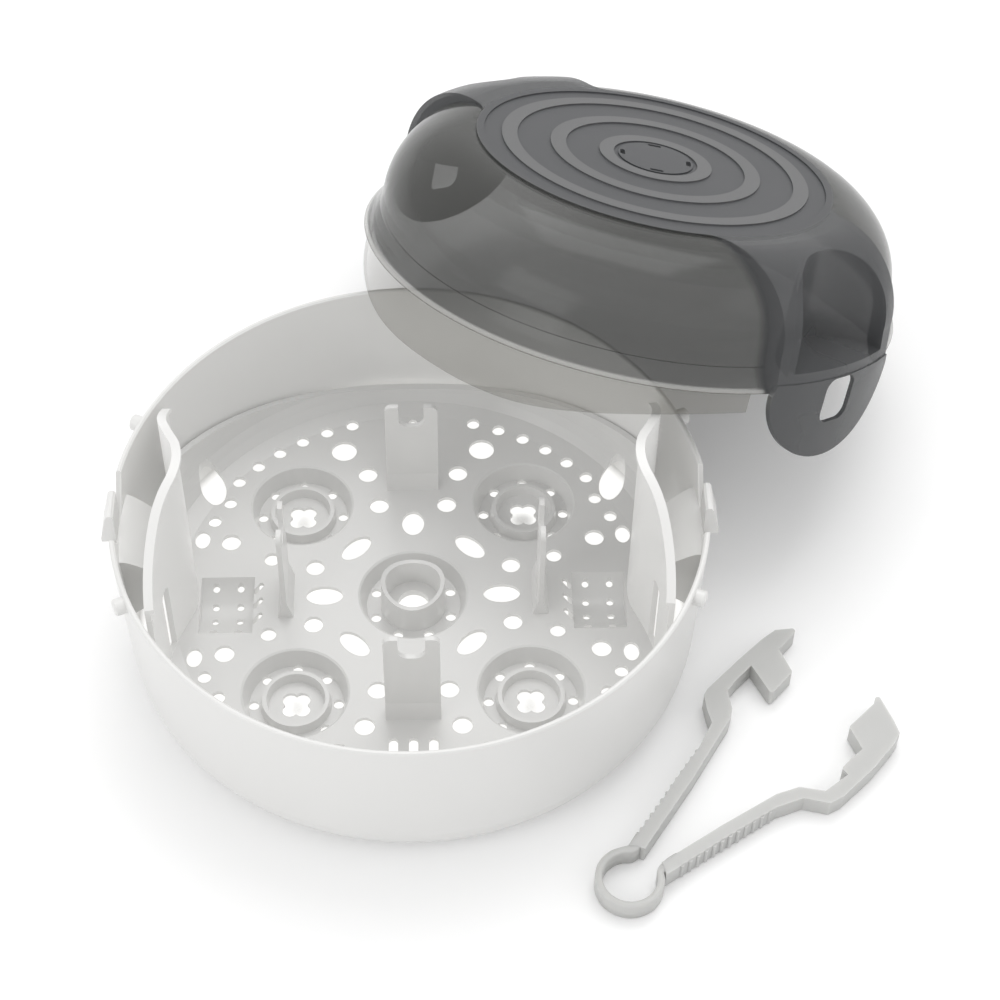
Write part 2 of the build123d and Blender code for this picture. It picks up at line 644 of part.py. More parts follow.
def skirt_radius():
    """Outside radius of the skirt, which clears the base where its deepest point hangs."""
    return wall_radius(BASE_H - SKIRT_DEEP) - BASE_WALL - SKIRT_SLIP


def skirt_body():
    """The skirt that slips inside the base, with its wavy lower edge."""
    r_out = skirt_radius()
    body = ring(r_out, r_out - SKIRT_T, -SKIRT_DEEP - 2, SEAT_GAP + 1)
    low = -SKIRT_DEEP - 10
    pts = [(-130, -SKIRT_SHALLOW), (-118, -SKIRT_SHALLOW - 1.5), (-92, -18.5), (-55, -26.7), (0, -SKIRT_DEEP),
           (55, -26.7), (92, -18.5), (118, -SKIRT_SHALLOW - 1.5), (130, -SKIRT_SHALLOW)]
    curve = Spline(*pts)
    rest = Polyline(curve @ 1, (lid_radius() + 10, (curve @ 1).Y), (lid_radius() + 10, low), (-lid_radius() - 10, low),
                    (-lid_radius() - 10, (curve @ 0).Y), curve @ 0)
    under = extrude(Plane.XZ * make_face(Wire([*curve.edges(), *rest.edges()])), lid_radius() + 10, both=True)
    body -= under
    return body - Box(2 * lid_radius() + 10, 2 * SKIRT_END_Y, 2 * SKIRT_DEEP + 20)


def seat_bead():
    """The thicker foot of the dome, which rests on the base rim."""
    r_in = skirt_radius() - SKIRT_T
    pts = [(lid_radius(), SEAT_GAP), (r_in, SEAT_GAP), (r_in, 1.5), (dome_radius() - LID_T + 0.5, 10), (dome_radius() + 1, 10),
           (lid_radius() - 2.4, 3)]
    return revolve(make_face(Plane.XZ * Polyline(*pts, close=True)), Axis.Z, 360)


def tab_prism():
    """Side view of a tab below the strap."""
    low = EllipticalCenterArc((0, 0), TAB_HALF, TAB_DEEP, 180, arc_size=180)
    rest = Polyline((TAB_HALF, 0), (STRAP_HALF, 6), (-STRAP_HALF, 6), (-TAB_HALF, 0))
    face = make_face(Wire([*low.edges(), *rest.edges()]))
    return extrude(Plane.YZ * face, lid_radius() + 20)


def ring_cuts():
    """The lowered zones between the flat rings of the top, the groove round the middle and the vents."""
    top = DOME_TOP + STRAP_PROUD
    zones = [(STRAP_DISC_R - 4, RING_EDGES[0][0])]
    for near, far in zip(RING_EDGES[:-1], RING_EDGES[1:]):
        zones.append((near[1], far[0]))
    well = RING_EDGES[-1][1]
    zones.append((well, well - 2.2))
    cuts = [ring(outer, inner, top - ZONE_DEEP, top + 1) for outer, inner in zones]
    for k in range(4):
        slot = SlotOverall(VENT_LONG, VENT_WIDE)
        place = Rot(0, 0, 45 + 90 * k) * Pos(0, VENT_R, DOME_TOP - LID_T - 2)
        cuts.append(place * extrude(slot, LID_T + STRAP_PROUD + 4))
    return cuts


def make_lid_flat():
    """The lid in its own frame."""
    outer = revolve(dome_section(0, 0), Axis.Z, 360)
    outer += revolve(strap_section(0, 0), Axis.Z, 360) & extrude(strap_plan(0), DOME_TOP + 5)
    inner = revolve(dome_section(-LID_T, 6), Axis.Z, 360)
    inner += revolve(strap_section(-LID_T, 6), Axis.Z, 360) & extrude(strap_plan(-LID_T), DOME_TOP)
    bead = seat_bead() - Box(2 * lid_radius() + 10, 2 * (STRAP_HALF - LID_T), 40)
    body = outer - inner + bead + skirt_body()
    tab = ring(tab_radius(), tab_radius() - LID_T, -TAB_DEEP - 5, 6) & tab_prism()
    body += both_sides(tab)
    pocket_x = handle_mid_x() + HANDLE_T + THUMB_GAP + LID_T + POCKET_R
    can = Pos(pocket_x, 0, POCKET_FLOOR - LID_T) * Cylinder(POCKET_R + LID_T, DOME_TOP,
                                                            align=(Align.CENTER, Align.CENTER, Align.MIN))
    body += both_sides(can & outer)
    scoop = Pos(pocket_x, 0, POCKET_FLOOR) * Cylinder(POCKET_R, DOME_TOP + 10,
                                                      align=(Align.CENTER, Align.CENTER, Align.MIN))
    body -= both_sides(scoop)
    hole_h = TAB_HOLE_TOP - TAB_HOLE_LOW
    hole = Plane.YZ * (Pos(0, (TAB_HOLE_TOP + TAB_HOLE_LOW) / 2) * RectangleRounded(TAB_HOLE_W, hole_h, TAB_HOLE_ROUND))
    cutter = extrude(hole, lid_radius() + 20) - Cylinder(lid_radius() - LID_T - 4, 100)
    body -= both_sides(cutter)
    return body.cut(*ring_cuts())


def make_lid():
    """The lid where it leans behind the base."""
    return Location(Plane(origin=LID_AT, x_dir=LID_X_DIR, z_dir=LID_Z_DIR)) * make_lid_flat()


def arm_one_outline():
    """Plan of the first arm, from the loop to its pad and tip, measured from the loop's middle."""
    return [(-0.3, 15.0), (1.9, 18.3), (13.8, 34.3), (25.0, 51.7), (36.8, 68.4), (44.0, 82.1),
            (42.4, 89.1), (41.5, 97.9), (43.5, 101.4), (60.8, 119.0), (72.9, 130.4), (79.7, 135.6),
            (91.2, 136.6), (80.3, 123.9), (85.4, 110.5), (73.9, 97.9), (65.9, 114.7), (58.1, 106.8),
            (53.1, 100.3), (54.4, 89.7), (52.6, 83.9), (32.4, 51.2), (12.0, 20.8), (6.2, 12.0)]


def arm_two_outline():
    """Plan of the second arm, from the loop to its tooth and end block, measured alike."""
    return [(11.7, 5.0), (17.0, 8.4), (43.6, 25.6), (70.7, 42.0), (81.5, 45.6),
            (93.6, 43.2), (105.1, 51.9), (102.5, 55.3), (107.2, 60.3), (113.6, 65.8), (109.0, 78.5),
            (122.3, 91.3), (124.6, 98.0), (130.7, 81.2), (132.5, 74.2), (129.0, 68.6), (117.5, 55.1),
            (101.1, 39.8), (95.0, 36.6), (83.0, 39.6), (70.0, 34.9), (43.9, 18.6),
            (17.2, 1.0), (12.2, -1.5)]


def strip(points, root_r):
    """An arm of the tongs, cut to the outside of the loop."""
    outline = make_face(Polyline(*points, close=True))
    outline = offset(offset(outline, -TONGS_ROUND), TONGS_ROUND)
    arm = extrude(outline, TONGS_H)
    return arm - Cylinder(root_r, 4 * TONGS_H)


def make_tongs():
    """The tongs lying open: the bent loop, the first arm and the second arm."""
    first = strip(arm_one_outline(), LOOP_R)
    second = strip(arm_two_outline(), LOOP_R + TONGS_SPLIT)
    reach = 2 * LOOP_R
    mouth = make_face(Polyline((0, 0), (reach * cos(radians(MOUTH_LOW)), reach * sin(radians(MOUTH_LOW))),
                               (reach, reach),
                               (reach * cos(radians(MOUTH_HIGH)), reach * sin(radians(MOUTH_HIGH))), close=True))
    band = ring(LOOP_R, LOOP_R - TONGS_T, 0, TONGS_H) - extrude(mouth, TONGS_H)
    place = Pos(BASE_RIM_R - LOOP_IN, -(BASE_RIM_R + LOOP_OUT), 0)
    return place * band, place * first, place * second


os.makedirs("parts", exist_ok=True)
export_step(make_base(), "parts/base.step")
for name, piece in make_rack().items():
    export_step(piece, f"parts/{name}.step")
export_step(make_lid(), "parts/lid.step")
loop, arm_one, arm_two = make_tongs()
export_step(loop, "parts/tongs_spring_loop.step")
export_step(arm_one, "parts/tongs_fixed_arm.step")
export_step(arm_two, "parts/tongs_moving_arm.step")
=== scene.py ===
import math

import bmesh
import bpy
from mathutils import Matrix, Vector


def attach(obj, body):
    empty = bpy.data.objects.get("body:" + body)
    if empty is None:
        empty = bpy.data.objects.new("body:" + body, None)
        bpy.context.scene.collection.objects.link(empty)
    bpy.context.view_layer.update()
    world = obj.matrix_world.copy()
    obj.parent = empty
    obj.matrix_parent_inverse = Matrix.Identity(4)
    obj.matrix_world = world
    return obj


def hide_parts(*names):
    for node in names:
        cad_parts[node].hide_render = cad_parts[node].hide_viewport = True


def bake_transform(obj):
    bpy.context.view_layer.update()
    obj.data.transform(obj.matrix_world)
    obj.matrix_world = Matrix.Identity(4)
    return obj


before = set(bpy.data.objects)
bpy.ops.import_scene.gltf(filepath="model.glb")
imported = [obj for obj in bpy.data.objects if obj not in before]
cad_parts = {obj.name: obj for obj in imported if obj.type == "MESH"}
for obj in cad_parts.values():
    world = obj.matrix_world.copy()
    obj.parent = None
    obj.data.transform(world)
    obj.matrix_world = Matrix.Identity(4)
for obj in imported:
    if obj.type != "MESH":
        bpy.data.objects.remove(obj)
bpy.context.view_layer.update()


# The water bowl: one thick-walled injection moulding in opaque white polypropylene.
# Its skin is satin from a lightly blasted mould, with faint flow marks and a slight drift in its colour.
def socket_in(group, name, kind, value):
    made = group.interface.new_socket(name=name, in_out="INPUT", socket_type=kind)
    made.default_value = value
    return made


def socket_out(group, name, kind):
    return group.interface.new_socket(name=name, in_out="OUTPUT", socket_type=kind)


def wire(tree, out_node, out_name, in_node, in_name):
    tree.links.new(out_node.outputs[out_name], in_node.inputs[in_name])


def moulded_skin_group():
    """Fine blasted grain, broad flow marks and colour drift of a moulding, from its own coordinates."""
    group = bpy.data.node_groups.new("moulded_skin", "ShaderNodeTree")
    socket_in(group, "Tone", "NodeSocketColor", (0.8, 0.8, 0.8, 1))
    socket_in(group, "Drift Tone", "NodeSocketColor", (0.7, 0.7, 0.7, 1))
    socket_in(group, "Gloss Low", "NodeSocketFloat", 0.3)
    socket_in(group, "Gloss High", "NodeSocketFloat", 0.45)
    socket_in(group, "Grain Scale", "NodeSocketFloat", 1400.0)
    socket_in(group, "Grain Depth", "NodeSocketFloat", 0.05)
    socket_out(group, "Colour", "NodeSocketColor")
    socket_out(group, "Roughness", "NodeSocketFloat")
    socket_out(group, "Normal", "NodeSocketVector")
    nodes = group.nodes
    enter = nodes.new("NodeGroupInput")
    leave = nodes.new("NodeGroupOutput")
    place = nodes.new("ShaderNodeTexCoord")
    flow = nodes.new("ShaderNodeTexNoise")
    flow.inputs["Scale"].default_value = 9.0
    flow.inputs["Detail"].default_value = 3.0
    flow.inputs["Distortion"].default_value = 0.6
    wire(group, place, "Object", flow, "Vector")
    drift = nodes.new("ShaderNodeMix")
    drift.data_type = "RGBA"
    wire(group, flow, "Fac", drift, "Factor")
    group.links.new(enter.outputs["Tone"], drift.inputs[6])
    group.links.new(enter.outputs["Drift Tone"], drift.inputs[7])
    group.links.new(drift.outputs[2], leave.inputs["Colour"])
    shine = nodes.new("ShaderNodeMapRange")
    wire(group, flow, "Fac", shine, "Value")
    wire(group, enter, "Gloss Low", shine, "To Min")
    wire(group, enter, "Gloss High", shine, "To Max")
    wire(group, shine, "Result", leave, "Roughness")
    grain = nodes.new("ShaderNodeTexNoise")
    grain.inputs["Detail"].default_value = 2.0
    wire(group, place, "Object", grain, "Vector")
    wire(group, enter, "Grain Scale", grain, "Scale")
    bump = nodes.new("ShaderNodeBump")
    bump.inputs["Distance"].default_value = 0.0002
    wire(group, enter, "Grain Depth", bump, "Strength")
    wire(group, grain, "Fac", bump, "Height")
    wire(group, bump, "Normal", leave, "Normal")
    return group


moulded_skin = moulded_skin_group()


def moulded_plastic(name, tone, drift, gloss, grain):
    """A plain moulded plastic; gloss is its lowest and highest roughness, grain its scale and depth."""
    made = bpy.data.materials.new(name)
    made.use_nodes = True
    nodes = made.node_tree.nodes
    shader = nodes["Principled BSDF"]
    skin = nodes.new("ShaderNodeGroup")
    skin.node_tree = moulded_skin
    skin.inputs["Tone"].default_value = (*tone, 1)
    skin.inputs["Drift Tone"].default_value = (*drift, 1)
    skin.inputs["Gloss Low"].default_value = gloss[0]
    skin.inputs["Gloss High"].default_value = gloss[1]
    skin.inputs["Grain Scale"].default_value = grain[0]
    skin.inputs["Grain Depth"].default_value = grain[1]
    wire(made.node_tree, skin, "Colour", shader, "Base Color")
    wire(made.node_tree, skin, "Roughness", shader, "Roughness")
    wire(made.node_tree, skin, "Normal", shader, "Normal")
    return made


def dress(node_name, material):
    """Gives a CAD node its finish."""
    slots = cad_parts[node_name].data.materials
    slots.clear()
    slots.append(material)


PLASTIC_IOR = 1.49
BOWL_WHITE = (0.76, 0.757, 0.746)
BOWL_DRIFT = (0.735, 0.732, 0.719)
BOWL_GLOSS = (0.26, 0.36)
BOWL_GRAIN = (1500.0, 0.06)
bowl_plastic = moulded_plastic("white_bowl_plastic", BOWL_WHITE, BOWL_DRIFT, BOWL_GLOSS, BOWL_GRAIN)
bowl_shader = bowl_plastic.node_tree.nodes["Principled BSDF"]
bowl_shader.inputs["IOR"].default_value = PLASTIC_IOR


def math_node(tree, operation, first, second):
    """One sum on two values, each a socket or a number."""
    made = tree.nodes.new("ShaderNodeMath")
    made.operation = operation
    for place, value in enumerate((first, second)):
        if isinstance(value, float):
            made.inputs[place].default_value = value
        else:
            tree.links.new(value, made.inputs[place])
    return made.outputs["Value"]


def fade(tree, value, start, end):
    """A smooth mask that is 0 at the start and 1 at the end."""
    made = tree.nodes.new("ShaderNodeMapRange")
    made.interpolation_type = "SMOOTHSTEP"
    made.inputs["From Min"].default_value = min(start, end)
    made.inputs["From Max"].default_value = max(start, end)
    made.inputs["To Min"].default_value = 0.0 if start < end else 1.0
    made.inputs["To Max"].default_value = 1.0 if start < end else 0.0
    tree.links.new(value, made.inputs["Value"])
    return made.outputs["Result"]


def multiply_masks(tree, first, *others):
    """The product of several masks."""
    product = first
    for mask in others:
        product = math_node(tree, "MULTIPLY", product, mask)
    return product


def distance_from_axis(tree, one, other):
    """How far a place is from an axis, from its two coordinates across that axis."""
    squares = math_node(tree, "ADD", math_node(tree, "POWER", one, 2.0), math_node(tree, "POWER", other, 2.0))
    return math_node(tree, "SQRT", squares, 0.0)


# A painted glow (emission) on the bowl's floor and corner stands in for light through the thin plastic, so
# the rack's holes look white from above.
# It shows only in the shade under the rack: once the rack is lifted, the open floor is shaded like the rest.
FLOOR_TOP = 0.0025
PAINTED_GLOW_R = 0.1335
INNER_FACE_R = 0.1378
PAINTED_GLOW_TALL = 0.006        # how far above the floor its painted glow is still full
SHADE_REACH = 0.05       # how near the rack has to be to shade the floor
SHADE_START = 0.30       # share of the sky that is hidden where the glow sets in
SHADE_FULL = 0.62        # and where it is full
PAINTED_WALL_SHARE = 0.10         # the inner wall's painted glow as a share of the floor's
PAINTED_GLOW_STRENGTH = 0.62
PAINTED_GLOW_TINT = (1, 1, 0.99, 1)
bowl_tree = bowl_plastic.node_tree
bowl_place = bowl_tree.nodes.new("ShaderNodeTexCoord")
bowl_split = bowl_tree.nodes.new("ShaderNodeSeparateXYZ")
wire(bowl_tree, bowl_place, "Object", bowl_split, "Vector")
from_middle = distance_from_axis(bowl_tree, bowl_split.outputs["X"], bowl_split.outputs["Y"])
bowl_height = bowl_split.outputs["Z"]
inside = fade(bowl_tree, from_middle, PAINTED_GLOW_R + 0.0015, PAINTED_GLOW_R)
above = fade(bowl_tree, bowl_height, FLOOR_TOP - 0.001, FLOOR_TOP - 0.0005)
below = fade(bowl_tree, bowl_height, FLOOR_TOP + 2 * PAINTED_GLOW_TALL, FLOOR_TOP + PAINTED_GLOW_TALL)
shade = bowl_tree.nodes.new("ShaderNodeAmbientOcclusion")
shade.samples = 8
shade.inputs["Distance"].default_value = SHADE_REACH
hidden = math_node(bowl_tree, "SUBTRACT", 1.0, shade.outputs["AO"])
covered = fade(bowl_tree, hidden, SHADE_START, SHADE_FULL)
painted_floor_glow = multiply_masks(bowl_tree, inside, above, below, covered)
# A weaker painted glow lightens the shaded inner wall.
inner_face = fade(bowl_tree, from_middle, INNER_FACE_R + 0.0003, INNER_FACE_R)
painted_wall_glow = multiply_masks(bowl_tree, inner_face, above, PAINTED_WALL_SHARE)
bowl_normal = bowl_tree.nodes.new("ShaderNodeSeparateXYZ")
wire(bowl_tree, bowl_place, "Normal", bowl_normal, "Vector")
inner_side = fade(bowl_tree, bowl_normal.outputs["Z"], 0.0, 0.02)
painted_glow = multiply_masks(bowl_tree, math_node(bowl_tree, "MAXIMUM", painted_floor_glow, painted_wall_glow), inner_side)
# The painted glow's colour, fed to the bowl's emission.
painted_glow_colour = bowl_tree.nodes.new("ShaderNodeMix")
painted_glow_colour.data_type = "RGBA"
painted_glow_colour.inputs[6].default_value = (0, 0, 0, 1)
painted_glow_colour.inputs[7].default_value = PAINTED_GLOW_TINT
bowl_tree.links.new(painted_glow, painted_glow_colour.inputs["Factor"])
bowl_tree.links.new(painted_glow_colour.outputs[2], bowl_shader.inputs["Emission Color"])
bowl_shader.inputs["Emission Strength"].default_value = PAINTED_GLOW_STRENGTH
dress("base", bowl_plastic)


# The bottle rack: one thinner white moulding with cups, posts, holes and two tall side handles.
# It is the same plastic as the bowl with a glossier skin; an even painted glow (emission) stands in for the
# light it lets through.
RACK_WHITE = (0.60, 0.598, 0.588)
RACK_DRIFT = (0.57, 0.567, 0.556)
# The handles, though the same moulding, get a lighter copy of the rack's white: painted light on them.
HANDLE_LIT_WHITE = (0.68, 0.678, 0.668)
HANDLE_LIT_DRIFT = (0.65, 0.647, 0.635)
RACK_GLOSS = (0.24, 0.34)
RACK_GRAIN = (1700.0, 0.05)
# Colour of the rack's painted glow.
RACK_PAINTED_GLOW_TINT = (1, 0.995, 0.98, 1)
RACK_PAINTED_GLOW = 0.10       # painted glow on the rack's thicker stretches, for the light that comes through them
HANDLE_PAINTED_GLOW = 0.14        # and a stronger painted glow on its handles
RACK_POSTS = ("rack_post_back", "rack_post_front", "rack_post_left", "rack_post_right")
RACK_FLAT_PARTS = ("rack", "rack_edge_front", "rack_edge_back", "rack_cup_left_front", "rack_cup_left_back",
                   "rack_cup_right_front", "rack_cup_right_back", "rack_collar")
RACK_HANDLES = ("rack_handle_left", "rack_handle_right")


def rack_plastic(name, tone, drift, painted_light):
    """The rack's white plastic, brightened by an even painted glow that stands in for the light coming
    through it.
    """
    made = moulded_plastic(name, tone, drift, RACK_GLOSS, RACK_GRAIN)
    shader = made.node_tree.nodes["Principled BSDF"]
    shader.inputs["IOR"].default_value = PLASTIC_IOR
    shader.inputs["Emission Color"].default_value = RACK_PAINTED_GLOW_TINT
    shader.inputs["Emission Strength"].default_value = painted_light
    return made


thick_plastic = rack_plastic("white_rack_plastic", RACK_WHITE, RACK_DRIFT, RACK_PAINTED_GLOW)
# The handles' copy is painted lighter and glows more.
lit_handle_plastic = rack_plastic("lit_white_handle_plastic", HANDLE_LIT_WHITE, HANDLE_LIT_DRIFT, HANDLE_PAINTED_GLOW)
for piece_name in (*RACK_FLAT_PARTS, *RACK_POSTS):
    dress(piece_name, thick_plastic)
for piece_name in RACK_HANDLES:
    dress(piece_name, lit_handle_plastic)


def soften(node_name, width):
    """Rounds a CAD node's sharp edges by a little, as the mould does."""
    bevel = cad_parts[node_name].modifiers.new("mould_radius", "BEVEL")
    bevel.width = width
    bevel.segments = 2
    bevel.limit_method = "ANGLE"
    bevel.angle_limit = math.radians(50)
    bevel.harden_normals = False


RACK_EDGE_R = 0.0005
for piece_name in (*RACK_HANDLES, *RACK_POSTS):
    soften(piece_name, RACK_EDGE_R)


# The lid: a smoky see-through dome with a clearer skirt, leaning open behind the bowl.
# A matt strap with flat rings is moulded over its top, and runs down to the two tabs.
LID_AT = Vector((0.1135, 0.16483, 0.07971))
LID_UP = Vector((0.1882, 0.3469, 0.9188)).normalized()
LID_ALONG = Vector((0.656, -0.7407, 0.1453))
LID_ALONG = (LID_ALONG - LID_UP * LID_ALONG.dot(LID_UP)).normalized()
LID_ACROSS = LID_UP.cross(LID_ALONG)
SMOKE_DOME = (0.066, 0.067, 0.063)
SMOKE_SKIRT = (0.19, 0.18, 0.15)
STRAP_GREY = (0.080, 0.082, 0.085)
STRAP_DRIFT = (0.072, 0.074, 0.077)
DISC_GREY = (0.080, 0.082, 0.086)
# The flat rings are painted lighter than the disc: a painted highlight for the light they catch beside the
# dished grooves.
RING_PAINTED_LIGHT = (0.140, 0.141, 0.143)
# A thin light band along the dome's foot: a painted highlight where the rim catches the light.
FOOT_PAINTED_HIGHLIGHT = (0.55, 0.55, 0.53)
DOME_COVER = 0.50        # how much one face of the dome hides, seen square on
EDGE_COVER = 0.45        # and how much more it hides where it is seen along its face
SKIRT_COVER = 0.24
STRAP_COVER = 0.78
DISC_COVER = 0.96
FOOT_HIGHLIGHT_COVER = 0.45
DOME_GLOSS = (0.10, 0.16)
STRAP_GLOSS = (0.22, 0.30)
DISC_GLOSS = (0.42, 0.52)
MATT_GRAIN = 0.03
LID_IOR = 1.40
FOOT_IN = 0.1370         # the painted highlight on the dome's flared foot shows outside this radius
STRAP_HALF = 0.0445
DISC_R = 0.0915
TOP_H = 0.0575           # the disc's face is above this, from the seat
RINGS = ((0.0710, 0.0790), (0.0460, 0.0540), (0.0215, 0.0290))


def lid_coordinate(tree, axis, name):
    """Distance along one of the lid's own axes, from its seat's centre, in metres."""
    nodes = tree.nodes
    place = nodes.new("ShaderNodeTexCoord")
    shift = nodes.new("ShaderNodeVectorMath")
    shift.operation = "SUBTRACT"
    shift.inputs[1].default_value = LID_AT
    wire(tree, place, "Object", shift, 0)
    along = nodes.new("ShaderNodeVectorMath")
    along.operation = "DOT_PRODUCT"
    along.label = name
    along.inputs[1].default_value = axis
    wire(tree, shift, "Vector", along, 0)
    return along


smoky = bpy.data.materials.new("smoky_lid_plastic")
smoky.use_nodes = True
tree = smoky.node_tree
shader = tree.nodes["Principled BSDF"]
height = lid_coordinate(tree, LID_UP, "height above the seat").outputs["Value"]
along = lid_coordinate(tree, LID_ALONG, "towards the tabs").outputs["Value"]
across = lid_coordinate(tree, LID_ACROSS, "across the strap").outputs["Value"]
out_from_axis = distance_from_axis(tree, along, across)
sideways = math_node(tree, "ABSOLUTE", across, 0.0)
in_strap = fade(tree, sideways, STRAP_HALF + 0.002, STRAP_HALF - 0.0015)
past_disc = fade(tree, out_from_axis, DISC_R - 0.004, DISC_R)
strap_mask = multiply_masks(tree, in_strap, past_disc)
on_top = fade(tree, height, TOP_H - 0.004, TOP_H - 0.002)
in_disc = fade(tree, out_from_axis, DISC_R + 0.001, DISC_R - 0.0005)
disc_mask = multiply_masks(tree, in_disc, on_top)
dome_mask = fade(tree, height, -0.001, 0.0015)
# The painted highlight's band, just above the seat on the flared foot.
foot_low = fade(tree, height, 0.0001, 0.0006)
foot_high = fade(tree, height, 0.0030, 0.0022)
foot_highlight_mask = multiply_masks(tree, foot_low, foot_high, fade(tree, out_from_axis, FOOT_IN, FOOT_IN + 0.0012))
# Where the flat rings get their painted highlight.
ring_light_mask = None
for near, far in RINGS:
    one_ring = multiply_masks(tree, fade(tree, out_from_axis, near - 0.0003, near + 0.0003),
                              fade(tree, out_from_axis, far + 0.0003, far - 0.0003))
    ring_light_mask = one_ring if ring_light_mask is None else math_node(tree, "MAXIMUM", ring_light_mask, one_ring)
ring_light_mask = multiply_masks(tree, ring_light_mask, disc_mask)


def blend_value(tree, mask, low, high):
    """A value that goes from low to high with a mask; each is a socket or a number."""
    made = tree.nodes.new("ShaderNodeMix")
    tree.links.new(mask, made.inputs["Factor"])
    for place, value in ((2, low), (3, high)):
        if isinstance(value, float):
            made.inputs[place].default_value = value
        else:
            tree.links.new(value, made.inputs[place])
    return made.outputs[0]


def blend_colour(tree, mask, low, high):
    """A colour that goes from low to high with a mask; each is a socket or three numbers."""
    made = tree.nodes.new("ShaderNodeMix")
    made.data_type = "RGBA"
    tree.links.new(mask, made.inputs["Factor"])
    for place, value in ((6, low), (7, high)):
        if isinstance(value, tuple):
            made.inputs[place].default_value = (*value, 1)
        else:
            tree.links.new(value, made.inputs[place])
    return made.outputs[2]


facing = tree.nodes.new("ShaderNodeLayerWeight")
along_face = math_node(tree, "MULTIPLY", facing.outputs["Facing"], EDGE_COVER)
cover = blend_value(tree, dome_mask, SKIRT_COVER, math_node(tree, "ADD", along_face, DOME_COVER))
cover = blend_value(tree, foot_highlight_mask, cover, FOOT_HIGHLIGHT_COVER)
cover = blend_value(tree, strap_mask, cover, STRAP_COVER)
cover = blend_value(tree, disc_mask, cover, DISC_COVER)
tree.links.new(cover, shader.inputs["Alpha"])
tone = blend_colour(tree, dome_mask, SMOKE_SKIRT, SMOKE_DOME)
tone = blend_colour(tree, foot_highlight_mask, tone, FOOT_PAINTED_HIGHLIGHT)
tone = blend_colour(tree, strap_mask, tone, STRAP_GREY)
tone = blend_colour(tree, disc_mask, tone, DISC_GREY)
tone = blend_colour(tree, ring_light_mask, tone, RING_PAINTED_LIGHT)
skin = tree.nodes.new("ShaderNodeGroup")
skin.node_tree = moulded_skin
tree.links.new(tone, skin.inputs["Tone"])
tree.links.new(blend_colour(tree, strap_mask, tone, STRAP_DRIFT), skin.inputs["Drift Tone"])
for place, socket_name in enumerate(("Gloss Low", "Gloss High")):
    gloss = blend_value(tree, strap_mask, DOME_GLOSS[place], STRAP_GLOSS[place])
    tree.links.new(blend_value(tree, disc_mask, gloss, DISC_GLOSS[place]), skin.inputs[socket_name])
# The polished dome has no grain; only the matt strap and its disc have some.
matt_mask = math_node(tree, "MAXIMUM", strap_mask, disc_mask)
tree.links.new(blend_value(tree, matt_mask, 0.0, MATT_GRAIN), skin.inputs["Grain Depth"])
wire(tree, skin, "Colour", shader, "Base Color")
wire(tree, skin, "Roughness", shader, "Roughness")
wire(tree, skin, "Normal", shader, "Normal")
shader.inputs["IOR"].default_value = LID_IOR
dress("lid", smoky)


# The tongs: one flat strip of milky polypropylene, bent into a sprung loop with two different arms.
# The plastic lets some light through, so its edges glow a little.
MILKY_WHITE = (0.56, 0.56, 0.549)
MILKY_DRIFT = (0.50, 0.50, 0.488)
MILKY_GLOSS = (0.32, 0.42)
MILKY_GRAIN = (1600.0, 0.08)
MILKY_DEPTH = 0.005      # how far light spreads inside the strip
ARM_EDGE_R = 0.0004
milky = moulded_plastic("milky_tongs_plastic", MILKY_WHITE, MILKY_DRIFT, MILKY_GLOSS, MILKY_GRAIN)
milky_shader = milky.node_tree.nodes["Principled BSDF"]
milky_shader.inputs["Subsurface Weight"].default_value = 0.5
milky_shader.inputs["Subsurface Radius"].default_value = (1.0, 1.0, 0.95)
milky_shader.inputs["Subsurface Scale"].default_value = MILKY_DEPTH
for piece_name in ("tongs_fixed_arm", "tongs_moving_arm"):
    dress(piece_name, milky)
    soften(piece_name, ARM_EDGE_R)


# The spring loop: the bent middle of the strip, which gives as the arms are squeezed together.
# It stands in for the rigid loop of the CAD, as a fixed bent strip from one arm round to the other.
LOOP_MIDDLE = (0.0973, -0.1550)
LOOP_LINE_R = 0.0142
LOOP_THICK = 0.0033
STRIP_LOW = 0.0001
STRIP_HIGH = 0.0104
STRIP_EDGE = 0.0005
LOOP_STEPS = 4           # stretches of the smooth line between two stations
# Where the strip runs into each arm: its place and thickness
FIXED_END = [(0.1043, -0.1333, 0.0058), (0.1015, -0.1375, 0.0056), (0.0987, -0.1403, 0.0045)]
MOVING_END = [(0.1131, -0.1505, 0.0046), (0.1165, -0.1480, 0.0058), (0.1205, -0.1454, 0.0058)]


def loop_stations():
    """The middle line of the bent loop from the first arm round to the second, with its thickness."""
    stations = list(FIXED_END)
    for degree in range(100, 371, 18):
        turned = math.radians(degree)
        stations.append((LOOP_MIDDLE[0] + LOOP_LINE_R * math.cos(turned),
                         LOOP_MIDDLE[1] + LOOP_LINE_R * math.sin(turned), LOOP_THICK))
    return stations + MOVING_END


def smooth_line(stations, steps):
    """More stations on the smooth line through the given ones."""
    ends = [stations[0], *stations, stations[-1]]
    made = []
    for before, start, end, after in zip(ends, ends[1:], ends[2:], ends[3:]):
        for step in range(steps):
            t = step / steps
            made.append(tuple(0.5 * (2 * b + (c - a) * t + (2 * a - 5 * b + 4 * c - d) * t * t
                                     + (3 * b - a - 3 * c + d) * t * t * t)
                              for a, b, c, d in zip(before, start, end, after)))
    return [*made, stations[-1]]


def tongs_piece(made, name):
    """A piece in the tongs' plastic, from its finished shape."""
    bmesh.ops.recalc_face_normals(made, faces=made.faces[:])
    mesh = bpy.data.meshes.new(name)
    made.to_mesh(mesh)
    made.free()
    mesh.materials.append(milky)
    piece = bpy.data.objects.new(name, mesh)
    bpy.context.scene.collection.objects.link(piece)
    return piece


